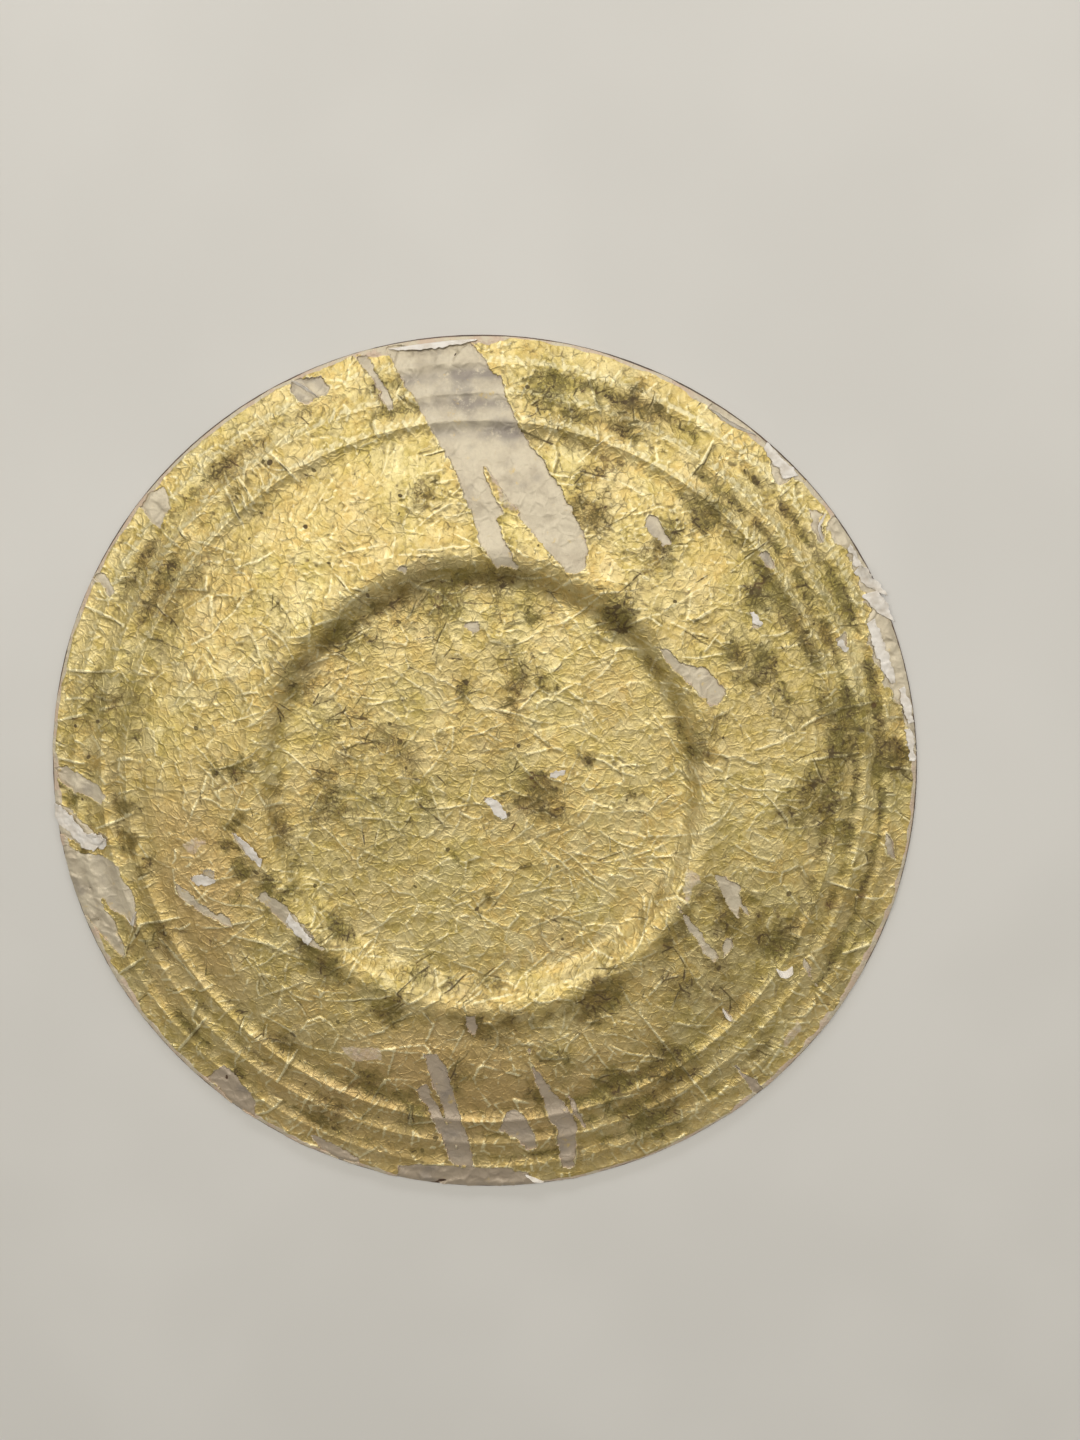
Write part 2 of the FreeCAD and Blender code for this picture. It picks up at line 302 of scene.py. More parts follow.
def fractal(x, y, size, octaves, seed, gain=0.5):
    """Layered noise, each layer half the size of the last and gain times as strong."""
    total, strength, weight = np.zeros(np.shape(x)), 1.0, 0.0
    for octave in range(octaves):
        total += strength * lattice_noise(x, y, size / 2**octave, seed + 31 * octave)
        weight += strength
        strength *= gain
    return total / weight


def patches(low, high, size, octaves, seed, gain=0.5):
    """Seeded patches over the face: 0 where noise of the size is below low, and 1 where it is above high."""
    return smooth_step(low, high, fractal(X, Y, size, octaves, seed, gain))


def ring_at(radius, width):
    """1 at a radius of the face, fading within about width on both sides of it."""
    return np.exp(-(((R - radius) / width) ** 2))


def random_cells(u, v, seed):
    """For cells about 1 across: the distance to the nearest border, that border's random number, and the
    height of a facet that tilts at random about its cell's middle, rising by up to 1 in 1."""
    count = 192
    offset_u, offset_v, tag = np.random.default_rng(seed).random((3, count, count))
    tilt_u, tilt_v = np.random.default_rng(seed + 7).uniform(-1.0, 1.0, (2, count, count))
    cell_u, cell_v = np.floor(u).astype(int), np.floor(v).astype(int)
    near, second = np.full(u.shape, 9.0), np.full(u.shape, 9.0)
    near_tag, second_tag, facet = np.zeros(u.shape), np.zeros(u.shape), np.zeros(u.shape)
    for step_u in (-1, 0, 1):
        for step_v in (-1, 0, 1):
            i, j = (cell_u + step_u) % count, (cell_v + step_v) % count
            away_u, away_v = u - cell_u - step_u - offset_u[i, j], v - cell_v - step_v - offset_v[i, j]
            distance = np.hypot(away_u, away_v)
            closest = distance < near
            closer = ~closest & (distance < second)
            second = np.where(closest, near, np.where(closer, distance, second))
            second_tag = np.where(closest, near_tag, np.where(closer, tag[i, j], second_tag))
            near = np.where(closest, distance, near)
            near_tag = np.where(closest, tag[i, j], near_tag)
            facet = np.where(closest, away_u * tilt_u[i, j] + away_v * tilt_v[i, j], facet)
    return (second - near) / 2, (near_tag + second_tag) % 1.0, facet


def crease_net(size, width, share, seed):
    """A net of creases around cells of a size: its sharp ridges, 0 to 1 high where share of them show, and
    the height of the flat facets between them for a tilt of 1."""
    bend_x = 0.22 * size * fractal(X, Y, 2.0 * size, 3, seed + 1)
    bend_y = 0.22 * size * fractal(X, Y, 2.0 * size, 3, seed + 2)
    border, tag, facet = random_cells((X + bend_x) / (1.2 * size), (Y + bend_y) / size, seed)
    strength = smooth_step(1.0 - share, 1.0 - 0.45 * share, tag)
    fading = patches(-0.35, 0.35, 1.2 * size, 2, seed + 3)
    return np.exp(-border * size / width) * strength * (0.25 + 0.75 * fading), facet * size


def eased(field, times):
    """The field with its steps smoothed over about a cell for each time."""
    for _ in range(times):
        field = (np.roll(field, 1, 0) + 2 * field + np.roll(field, -1, 0)) / 4
        field = (np.roll(field, 1, 1) + 2 * field + np.roll(field, -1, 1)) / 4
    return field


def window(xs, ys, margin):
    """The slices of the field around some points."""
    low = [int(np.clip((min(c) - margin + FIELD_HALF) / FIELD_STEP, 0, len(AXIS) - 1)) for c in (xs, ys)]
    high = [int(np.clip((max(c) + margin + FIELD_HALF) / FIELD_STEP + 2, 1, len(AXIS))) for c in (xs, ys)]
    return slice(low[1], high[1]), slice(low[0], high[0])


def distance_to_run(x, y, a, b):
    """The distance to the segment from a to b, and how far along it the nearest point lies, 0 to 1."""
    run_x, run_y = b[0] - a[0], b[1] - a[1]
    along = np.clip(((x - a[0]) * run_x + (y - a[1]) * run_y) / (run_x**2 + run_y**2), 0.0, 1.0)
    return np.hypot(x - a[0] - along * run_x, y - a[1] - along * run_y), along


def press_ridge(field, points, height, width):
    """Raises field in a sharp crest along the line through points, highest in its middle."""
    xs, ys = zip(*points)
    part = window(xs, ys, 4 * width)
    x, y = X[part], Y[part]
    best, place = np.full(x.shape, 99.0), np.zeros(x.shape)
    for number, (a, b) in enumerate(zip(points, points[1:])):
        distance, along = distance_to_run(x, y, a, b)
        closer = distance < best
        best = np.where(closer, distance, best)
        place = np.where(closer, (number + along) / (len(points) - 1), place)
    body = np.maximum(np.exp(-best / width) - 0.02, 0) * np.clip(4 * place * (1 - place), 0, 1) ** 0.5
    field[part] = np.maximum(field[part], height * body)


# The creases that lie singly: how many, and the share of them with a branch, pressed inwards, or with a
# dark seam beside them, patina and painted shadow in one. Headings are in radians from +x. Past FLUTES_START
# they run across the flutes.
CREASE_COUNT = 1250
BRANCHED_SHARE, VALLEY_SHARE, SEAM_SHARE = 0.5, 0.3, 0.6
MAIN_HEADINGS = (-0.6, 0.1, 0.55)
HEADING_SPREAD = 0.35
WANDER_STEP = 2.5
SEAM_WIDTH = 0.34
FLUTES_START, CREASE_REACH = 124.0, 161.0

# The dark specks: how many places are tried, and how far out the places and the specks may lie.
SPECK_TRIES = 1500
SPECK_REACH, RIM_END = 162, 163


def wandering_line(rng, start, heading, length, wander):
    """A line of short steps whose heading drifts by wander at each."""
    points = [start]
    for _ in range(max(2, int(length / WANDER_STEP))):
        heading += rng.normal(0.0, wander)
        x, y = points[-1]
        points.append((x + WANDER_STEP * math.cos(heading), y + WANDER_STEP * math.sin(heading)))
    return points


def scattered_creases():
    """Long creases with side branches, across the flutes near the rim and in most directions elsewhere:
    the ridges, the valleys, and the dark seams beside some of them, patina with painted shadow."""
    rng = np.random.default_rng(412)
    ridges, valleys, seams_and_shadows = np.zeros((3, *X.shape))
    for _ in range(CREASE_COUNT):
        radius, turn = CREASE_REACH * math.sqrt(rng.random()), rng.uniform(0, 2 * math.pi)
        if radius > FLUTES_START:
            heading = turn + rng.normal(0, HEADING_SPREAD)
            length = rng.uniform(5, 14)
        else:
            heading = rng.normal(rng.choice(MAIN_HEADINGS), HEADING_SPREAD)
            length = rng.uniform(6, 32)
        start = (radius * math.cos(turn), radius * math.sin(turn))
        lines = [wandering_line(rng, start, heading, length, 0.13)]
        if rng.random() < BRANCHED_SHARE:
            branch = heading + rng.choice((-1, 1)) * rng.uniform(0.4, 0.9)
            lines.append(wandering_line(rng, lines[0][len(lines[0]) // 2], branch, 0.5 * length, 0.25))
        height, width = rng.uniform(0.08, 0.34), rng.uniform(0.38, 0.75)
        field = valleys if rng.random() < VALLEY_SHARE else ridges
        for line in lines:
            press_ridge(field, line, height, width)
        if rng.random() < SEAM_SHARE:
            aside = rng.choice((-1, 1)) * rng.uniform(0.5, 0.9)
            shift_x, shift_y = -aside * math.sin(heading), aside * math.cos(heading)
            darkness = rng.uniform(0.45, 0.95)
            for line in lines:
                press_ridge(seams_and_shadows, [(x + shift_x, y + shift_y) for x, y in line], darkness, SEAM_WIDTH)
    return ridges, valleys, seams_and_shadows


def scattered_specks():
    """Small dark spots, most of them where the patina is strong."""
    rng = np.random.default_rng(733)
    field = np.zeros(X.shape)
    for _ in range(SPECK_TRIES):
        x0, y0 = rng.uniform(-SPECK_REACH, SPECK_REACH, 2)
        if rng.random() < 0.04 + 1.1 * sample(PATINA, x0, y0) ** 2 and math.hypot(x0, y0) < RIM_END:
            size = 0.25 + 0.9 * rng.random() ** 3
            part = window([x0], [y0], 3 * size)
            x, y = X[part] - x0, Y[part] - y0
            squeeze, lean = rng.uniform(0.5, 1.0), rng.uniform(0, math.pi)
            u = x * math.cos(lean) + y * math.sin(lean)
            v = (y * math.cos(lean) - x * math.sin(lean)) / squeeze
            field[part] = np.maximum(field[part], np.exp(-(((u**2 + v**2) / size**2) ** 1.5)))
    return field


def on_face(points):
    """Slides points from the plane they were drawn on, along the line to EYE, onto the papered face."""
    given = np.array(points, float)
    stand = face_height(np.hypot(given[:, 0], given[:, 1])) + GOLD_LIFT - DRAWING_HEIGHT
    shrink = (stand / (EYE[2] - DRAWING_HEIGHT))[:, None]
    return [tuple(point) for point in given + (np.array(EYE[:2]) - given) * shrink]


def outline_distance(outlines, margin):
    """Signed distance to the nearest outline, below zero inside one, cut off at margin."""
    field = np.full(X.shape, float(margin))
    for outline in map(on_face, outlines):
        xs, ys = zip(*outline)
        part = window(xs, ys, margin)
        x, y = X[part], Y[part]
        best, inside = np.full(x.shape, float(margin)), np.zeros(x.shape, bool)
        for a, b in zip(outline, outline[1:] + outline[:1]):
            best = np.minimum(best, distance_to_run(x, y, a, b)[0])
            if a[1] != b[1]:
                crosses = (a[1] > y) != (b[1] > y)
                inside ^= crosses & (x < (b[0] - a[0]) * (y - a[1]) / (b[1] - a[1]) + a[0])
        field[part] = np.minimum(field[part], np.where(inside, -best, best))
    return field


def arc_cover(start, end, feather):
    """1 between two angles in degrees, fading over feather outside them."""
    middle, half = (start + end) / 2, (end - start) / 2
    off = np.abs((ANGLE - middle + 180.0) % 360.0 - 180.0)
    return 1.0 - smooth_step(half, half + feather, off)


# The torn outlines, made fibrous. Distances to outlines are kept up to OUTLINE_MARGIN.
OUTLINE_MARGIN = 6
TORN = outline_distance(TEARS.values(), OUTLINE_MARGIN)
TORN = TORN + 1.5 * fractal(X, Y, 3.6, 4, 21, 0.72)

# The relief that both plies share, and what each adds to it.
SHOULDER = smooth_step(92, 104, R) * (1 - smooth_step(120, 128, R))
FLUTES = smooth_step(124, 130, R)
TOP = smooth_step(20, 90, Y)
LOW = smooth_step(-55, -110, Y)
# Each pleat also gets a dark line just below its ridge, patina and a painted shadow in one.
PLEAT_FIELD, PLEAT_SEAMS_AND_SHADOWS = np.zeros((2, *X.shape))
for pleat, pleat_height in PLEATS:
    press_ridge(PLEAT_FIELD, on_face(pleat), pleat_height, 0.8)
    press_ridge(PLEAT_SEAMS_AND_SHADOWS, [(x + 0.5, y - 0.7) for x, y in on_face(pleat)], 0.6, 0.5)
SOFT_RELIEF = 0.22 * fractal(X, Y, 17.0, 3, 11) + 0.1 * fractal(X, Y, 6.0, 2, 57)
LONG_CREASES, LONG_FACETS = crease_net(10.5, 0.55, 0.8, 101)
SHORT_CREASES, SHORT_FACETS = crease_net(5.2, 0.42, 0.7, 202)
CRACKLE, CRACKLE_FACETS = crease_net(1.9, 0.35, 0.7, 303)
RIDGES, VALLEYS, SEAMS_AND_SHADOWS = scattered_creases()
CALM = 1.0 - 0.4 * FLUTES
GLITTER = TOP + ring_at(82.0, 7.0) * (1 - TOP)
FACETS = 0.026 * LONG_FACETS + 0.026 * SHORT_FACETS + (0.014 + 0.055 * GLITTER) * CRACKLE_FACETS
FACETS = eased((1.0 + 0.7 * LOW) * FACETS, 2)
CREASES = (CALM + 0.6 * LOW) * (0.15 * LONG_CREASES + 0.08 * SHORT_CREASES)
CREASES += (0.01 + 0.05 * SHOULDER * TOP) * CRACKLE
GOLD_RELIEF = SOFT_RELIEF * (1.0 - 0.35 * FLUTES) + FACETS + CREASES + RIDGES - 0.5 * VALLEYS + PLEAT_FIELD
GOLD_RELIEF = eased(np.maximum(GOLD_RELIEF, -0.2 + 0.2 * GOLD_RELIEF), 1)
LINING_CREASES, LINING_FACETS = crease_net(7.0, 0.5, 0.7, 404)
RIM_CREASES, RIM_FACETS = crease_net(4.5, 0.6, 0.9, 808)
bare_rim = smooth_step(-0.2, -1.2, TORN) * smooth_step(150, 158, R)
LINING_RELIEF = 0.7 * SOFT_RELIEF + 0.35 * PLEAT_FIELD + 0.12 * LINING_CREASES + 0.03 * LINING_FACETS
LINING_RELIEF = np.minimum(LINING_RELIEF + 0.03 * fractal(X, Y, 2.0, 3, 87), GOLD_RELIEF + 0.2)
LINING_RELIEF = np.maximum(LINING_RELIEF, -0.08)
LINING_RELIEF = eased(LINING_RELIEF + bare_rim * (0.2 + 0.35 * RIM_CREASES + 0.16 * RIM_FACETS), 1)

# The gold paper is lifted a little beside its tears.
EDGE_LIFT = 0.35 * np.exp(-((np.maximum(TORN, 0) / 0.9) ** 2)) * (0.5 + 0.5 * fractal(X, Y, 7.0, 2, 29))
GOLD_RELIEF += EDGE_LIFT

# Colour masks, 0 to 1. HOLLOW_SHARES is how much patina lies in the hollow inside each crest.
HOLLOW_SHARES = (0.7, 0.9, 1.15)
rubbed = smooth_step(0.6, -1.2, outline_distance(RUBBED, OUTLINE_MARGIN) + 1.6 * fractal(X, Y, 4.0, 3, 33))
rim_depth = np.full(X.shape, 0.7)
for start, end, depth in RIM_WEAR:
    rim_depth = np.maximum(rim_depth, depth * arc_cover(start, end, 3.0))
rim_edge = PAPER_RADIUS - rim_depth * (0.75 + 0.5 * fractal(X, Y, 5.0, 3, 35))
WEAR = np.clip(0.62 * rubbed + smooth_step(-0.5, 0.4, R - rim_edge), 0, 1)
PATINA = np.zeros(X.shape)
bent_x = X + 8.0 * fractal(X, Y, 13.0, 5, 401, 0.7)
bent_y = Y + 8.0 * fractal(X, Y, 13.0, 5, 402, 0.7)
for (x0, y0), (_, _, reach, strength) in zip(on_face([blotch[:2] for blotch in BLOTCHES]), BLOTCHES):
    blotch_distance = np.hypot(bent_x - x0, bent_y - y0) / reach
    PATINA = np.maximum(PATINA, strength * np.exp(-(blotch_distance**2.4)))
PATINA *= np.clip(0.85 + 1.3 * fractal(X, Y, 8.0, 5, 41, 0.7), 0, 1.3)
in_hollows = sum(share * ring_at(crest - 4.0, 2.1) for crest, share in zip(CRESTS, HOLLOW_SHARES))
fewer_left = 1.0 - 0.45 * arc_cover(95, 200, 20.0)
PATINA += (0.65 + 0.2 * TOP) * fewer_left * in_hollows * patches(-0.5, 0.35, 10.0, 5, 43, 0.65)
PATINA += 0.55 * ring_at(78.0, 3.5) * patches(-0.3, 0.4, 10.0, 4, 45)
below_lip = ring_at(92.5, 4.0) * arc_cover(215, 325, 25.0)
PATINA += 0.6 * below_lip * patches(-0.4, 0.3, 9.0, 3, 48)
right_side = smooth_step(95, 125, R) * arc_cover(-60, 25, 20.0)
PATINA += 0.24 * right_side * patches(-0.3, 0.4, 12.0, 3, 44)
first_rise = ring_at(133.0, 2.5) * arc_cover(-75, 20, 20.0)
PATINA += 0.4 * first_rise * patches(-0.5, 0.3, 9.0, 3, 46)
PATINA = np.clip(PATINA + 0.14 + 0.36 * fractal(X, Y, 22.0, 4, 47), 0, 1)
BLUSH = np.exp(-((X + 15) ** 2 / 75**2) - ((Y + 122) ** 2 / 32**2))
BLUSH += 0.8 * np.exp(-((X + 108) ** 2 / 22**2) - ((Y + 45) ** 2 / 40**2))
BLUSH = np.clip(BLUSH + 0.15 + 0.3 * fractal(X, Y, 18.0, 3, 55), 0, 1)
# The white ply is made darker towards the bottom of the plate.
LOWER_DARKENING = np.clip(0.75 * smooth_step(-55, -105, Y) + 0.25 * fractal(X, Y, 8.0, 3, 59), 0, 1)
# Grey on the white ply: painted shade in the flute hollows, stronger towards the top, and stains in patches.
STAIN_AND_HOLLOW_SHADE = np.clip(in_hollows, 0, 1) * (0.4 * TOP + 0.6 * patches(-0.5, 0.5, 10.0, 3, 49))
STAIN_AND_HOLLOW_SHADE = np.clip(STAIN_AND_HOLLOW_SHADE + 0.7 * patches(0.05, 0.7, 9.0, 4, 51), 0, 1)


def sample(field, x, y):
    """The field's value at each point, straight between its cells."""
    u = np.clip((x + FIELD_HALF) / FIELD_STEP, 0, len(AXIS) - 1.001)
    v = np.clip((y + FIELD_HALF) / FIELD_STEP, 0, len(AXIS) - 1.001)
    i, j = np.floor(u).astype(int), np.floor(v).astype(int)
    fu, fv = u - i, v - j
    low = field[j, i] * (1 - fu) + field[j, i + 1] * fu
    high = field[j + 1, i] * (1 - fu) + field[j + 1, i + 1] * fu
    return low * (1 - fv) + high * fv


# Dark lines: patina with painted shadow beside some creases and below the pleats everywhere, and in a fine
# web where the patina is strong.
broken = patches(-0.25, 0.25, 6.0, 3, 53)
web = np.maximum(crease_net(3.2, 0.35, 0.95, 505)[0], 0.85 * crease_net(1.8, 0.28, 0.95, 606)[0])
VEINS_AND_SHADOWS = 0.75 * web * smooth_step(0.3, 0.8, PATINA)
VEINS_AND_SHADOWS = np.maximum(VEINS_AND_SHADOWS, SEAMS_AND_SHADOWS * broken * (0.7 + 0.3 * smooth_step(0.1, 0.6, PATINA)))
VEINS_AND_SHADOWS = np.maximum(VEINS_AND_SHADOWS, 0.7 * LONG_CREASES**2 * broken * smooth_step(-0.1, 0.5, PATINA))
VEINS_AND_SHADOWS = np.maximum(VEINS_AND_SHADOWS, PLEAT_SEAMS_AND_SHADOWS * patches(-0.3, 0.3, 4.0, 3, 54))
VEINS_AND_SHADOWS = np.clip(np.maximum(VEINS_AND_SHADOWS, scattered_specks()), 0, 1)


def cavity(relief):
    """How far each place lies below its neighbourhood, in mm."""
    near = relief
    for _ in range(3):
        near = (np.roll(near, 2, 0) + np.roll(near, -2, 0) + np.roll(near, 2, 1) + np.roll(near, -2, 1)) / 4
    return near - relief


# Painted highlight: where the relief stands above its neighbourhood, and on the flute crests (more so
# towards the top), this mask is low and the gold is painted pale. Where the relief lies below its
# neighbourhood, patina gathers.
crest_highlight = sum(ring_at(crest + 1.0, 1.8) for crest in CRESTS)
HOLLOW_AND_HIGHLIGHT = cavity(GOLD_RELIEF) + 0.02 * in_hollows - (0.02 + 0.025 * TOP) * crest_highlight


# ------------------------------------------------------------------------------ meshes
# Distances between neighbouring points, the thickness of the torn strips, and a radius past every point.
GOLD_SPACING = 0.4
LINING_SPACING = 0.668
STRIP_SPACING = 0.35
STRIP_THICKNESS = 0.12
BEYOND_PLATE = 200.0


def ring_mesh(ring_radii):
    """Points and quads of a disc of rings: ring n has 8n points, so that no quad is far from square."""
    count = len(ring_radii) - 1
    rings = np.concatenate([[0]] + [np.full(8 * n, n) for n in range(1, count + 1)])
    first = np.array([0] + [1 + 4 * n * (n - 1) for n in range(1, count + 2)])
    place = np.arange(len(rings)) - first[rings]
    turn = 2 * np.pi * (place / np.maximum(8 * rings, 1)) + 0.4
    radius = ring_radii[rings]
    points = np.column_stack([radius * np.cos(turn), radius * np.sin(turn)])
    quads = []
    for n in range(1, count + 1):
        outer, inner = 8 * n, max(8 * (n - 1), 1)
        for side in range(4):
            corner, inner_corner = side * 2 * n, side * 2 * (n - 1)
            quads.append([[
                first[n] + (corner - 1) % outer, first[n] + corner, first[n] + corner + 1,
                first[n - 1] + inner_corner % inner,
            ]])
            steps = np.arange(1, 2 * n - 1)
            if len(steps):
                quads.append(np.column_stack([
                    first[n] + (corner + steps) % outer,
                    first[n] + (corner + steps + 1) % outer,
                    first[n - 1] + (inner_corner + steps) % inner,
                    first[n - 1] + (inner_corner + steps - 1) % inner,
                ]))
    return points, np.concatenate(quads)


def spaced_rings(spacing):
    """Ring radii about spacing apart, with a ring exactly on the well's edge and on every crest."""
    fixed = [0.0, WELL_RADIUS] + CRESTS + [PAPER_RADIUS]
    numbers = [round(radius / spacing) for radius in fixed]
    return np.interp(np.arange(numbers[-1] + 1), numbers, fixed)


def make_mesh(name, points, quads, normals=None, masks=None):
    """A mesh from arrays of points in mm and of quads, with named point masks."""
    mesh = bpy.data.meshes.new(name)
    mesh.vertices.add(len(points))
    mesh.vertices.foreach_set("co", (points * MM).astype(np.float32).ravel())
    mesh.loops.add(quads.size)
    mesh.loops.foreach_set("vertex_index", quads.astype(np.int32).ravel())
    mesh.polygons.add(len(quads))
    mesh.polygons.foreach_set("loop_start", np.arange(0, quads.size, 4, dtype=np.int32))
    mesh.polygons.foreach_set("use_smooth", np.ones(len(quads), bool))
    mesh.update(calc_edges=True)
    for key, values in (masks or {}).items():
        layer = mesh.attributes.new(key, "FLOAT", "POINT")
        layer.data.foreach_set("value", values.astype(np.float32))
    if normals is not None:
        mesh.normals_split_custom_set_from_vertices(normals)
    return mesh


def add_piece(name, mesh, material):
    """An object of the plate that rides on its one body."""
    piece = bpy.data.objects.new(name, mesh)
    bpy.context.scene.collection.objects.link(piece)
    mesh.materials.append(material)
    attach(piece, "root")
    return piece


def gold_height(x, y):
    """The height of the gold paper at each place."""
    return face_height(np.hypot(x, y)) + GOLD_LIFT + sample(GOLD_RELIEF, x, y)


def point_normals(points, quads):
    """Normals of the whole ply's points, so that its pieces shade as one."""
    diagonal_a = points[quads[:, 2]] - points[quads[:, 0]]
    diagonal_b = points[quads[:, 3]] - points[quads[:, 1]]
    faces = np.cross(diagonal_a, diagonal_b)
    normals = np.zeros(points.shape)
    for corner in range(4):
        for axis in range(3):
            normals[:, axis] += np.bincount(quads[:, corner], faces[:, axis], len(points))
    return normals / np.maximum(np.linalg.norm(normals, axis=1, keepdims=True), 1e-9)


def open_edges(quads):
    """The edges that only one quad has, in that quad's direction."""
    edges = np.concatenate([quads[:, [k, (k + 1) % 4]] for k in range(4)])
    keys = np.sort(edges, axis=1)
    keys = keys[:, 0].astype(np.int64) * (quads.max() + 1) + keys[:, 1]
    _, index, times = np.unique(keys, return_index=True, return_counts=True)
    return edges[index[times == 1]]


def snap_to_tears(points, spacing):
    """Moves the points beside a torn outline onto it, so that the edge is a clean line."""
    x, y = points[:, 0].copy(), points[:, 1].copy()
    grad_y, grad_x = np.gradient(TORN, FIELD_STEP)
    distance = sample(TORN, x, y)
    slope_x, slope_y = sample(grad_x, x, y), sample(grad_y, x, y)
    steep = np.maximum(slope_x**2 + slope_y**2, 0.3)
    close = np.abs(distance) < 0.55 * spacing
    points[:, 0] = np.where(close, x - distance * slope_x / steep, x)
    points[:, 1] = np.where(close, y - distance * slope_y / steep, y)
    return np.where(close, 0.0, distance)


def face_pieces(name, material, points, quads, bands, masks):
    """Cuts a ply into ring-shaped pieces at the given radii, so that no mesh is too heavy."""
    normals = point_normals(points, quads)
    middle = np.hypot(*points[quads].mean(axis=1)[:, :2].T)
    pieces = []
    for number, (suffix, outside) in enumerate(bands):
        inside = bands[number - 1][1] if number else -1.0
        chosen = quads[(middle > inside) & (middle <= outside)]
        used, renumbered = np.unique(chosen, return_inverse=True)
        part = make_mesh(
            f"{name}_{suffix}", points[used], renumbered.reshape(chosen.shape), normals[used],
            {key: values[used] for key, values in masks.items()},
        )
        pieces.append(add_piece(f"{name}_{suffix}", part, material))
    return pieces


def make_gold_ply(material):
    """The gold ply with its tears: the papered face, and a torn edge that reaches down to the lining."""
    flat, quads = ring_mesh(spaced_rings(GOLD_SPACING))
    distance = snap_to_tears(flat, GOLD_SPACING)
    x, y = flat.T
    radius = np.hypot(x, y)
    height = gold_height(x, y)
    at_rim = smooth_step(PAPER_RADIUS - 4.0, PAPER_RADIUS, radius)
    uneven = 1.0 + at_rim * 0.35 * lattice_noise(x, y, 9.0, 61) / PAPER_RADIUS
    points = np.column_stack([x * uneven, y * uneven, height])
    quads = quads[distance[quads].mean(axis=1) > 0.0]
    edges = open_edges(quads)
    rim_points, renumbered = np.unique(edges, return_inverse=True)
    renumbered = renumbered.reshape(edges.shape) + len(points)
    tucked = points[rim_points].copy()
    tucked[:, 2] = face_height(np.hypot(tucked[:, 0], tucked[:, 1])) + LINING_LIFT - 0.05
    tucked[:, 2] += sample(LINING_RELIEF, tucked[:, 0], tucked[:, 1])
    skirt = np.column_stack([edges[:, 1], edges[:, 0], renumbered[:, 0], renumbered[:, 1]])
    where = np.concatenate([np.arange(len(points)), rim_points])
    x, y = x[where], y[where]
    frayed = 0.35 + 0.5 * smooth_step(-0.2, 0.4, lattice_noise(x, y, 2.5, 63))
    torn_edge = smooth_step(0.6, 0.1, sample(TORN, x, y)) * frayed
    torn_edge[len(points):] = 1.0
    masks = {
        "wear": np.clip(sample(WEAR, x, y) + torn_edge, 0, 1),
        "patina": sample(PATINA, x, y),
        "veins_and_shadows": sample(VEINS_AND_SHADOWS, x, y),
        "hollow_and_highlight": sample(HOLLOW_AND_HIGHLIGHT, x, y),
        "blush": sample(BLUSH, x, y),
    }
    points = np.concatenate([points, tucked])
    quads = np.concatenate([quads, skirt])
    bands = [
        ("well", 62.0), ("wall", 88.0), ("lip", 108.0), ("shoulder", 124.5), ("first_flute", 139.0),
        ("second_flute", 152.5), ("rim", BEYOND_PLATE),
    ]
    return face_pieces("gold_paper", material, points, quads, bands, masks)


def make_lining_ply(material):
    """The white ply under the gold one."""
    flat, quads = ring_mesh(spaced_rings(LINING_SPACING))
    x, y = flat.T
    height = face_height(np.hypot(x, y)) + LINING_LIFT + sample(LINING_RELIEF, x, y)
    masks = {"stain_and_hollow_shade": sample(STAIN_AND_HOLLOW_SHADE, x, y), "lower_darkening": sample(LOWER_DARKENING, x, y)}
    bands = [("well", 74.0), ("shoulder", 127.0), ("rim", BEYOND_PLATE)]
    points = np.column_stack([x, y, height])
    return face_pieces("lining_paper", material, points, quads, bands, masks)


# Curled and folded tongues of torn paper: the attached edge's line, the width (its free side lies to the
# left of the line), how far the paper turns over in degrees, and how high it stands off the face.
CURLS = {
    "top_lip": ([(0, 163.4), (-9, 163.0), (-20, 161.8), (-32, 160.2)], 2.2, 30, 0.5),
    "patch_corner": ([(-139.5, -53), (-137, -56.5), (-135.5, -51)], 2.0, 120, 0.3),
    "right_high": ([(84, 138.5), (92, 132.5), (101, 129)], 1.8, 130, 0.2),
    "right_notch": ([(127, 101), (124.5, 96), (126.5, 90.5)], 1.4, 120, 0.2),
    "lower_right": ([(120, -72), (117, -74), (114, -73)], 3.4, 160, 0.3),
    "lower_right_tip": ([(97, -94.5), (95.5, -92), (93.5, -89)], 1.6, 130, 0.2),
    "low_rim_tip": ([(23.5, -162.5), (20, -161.2), (16, -159.5)], 1.6, 60, 0.3),
    "top_left_ridge": ([(-68, 149), (-63, 146), (-58, 143)], 1.5, 110, 0.3),
}

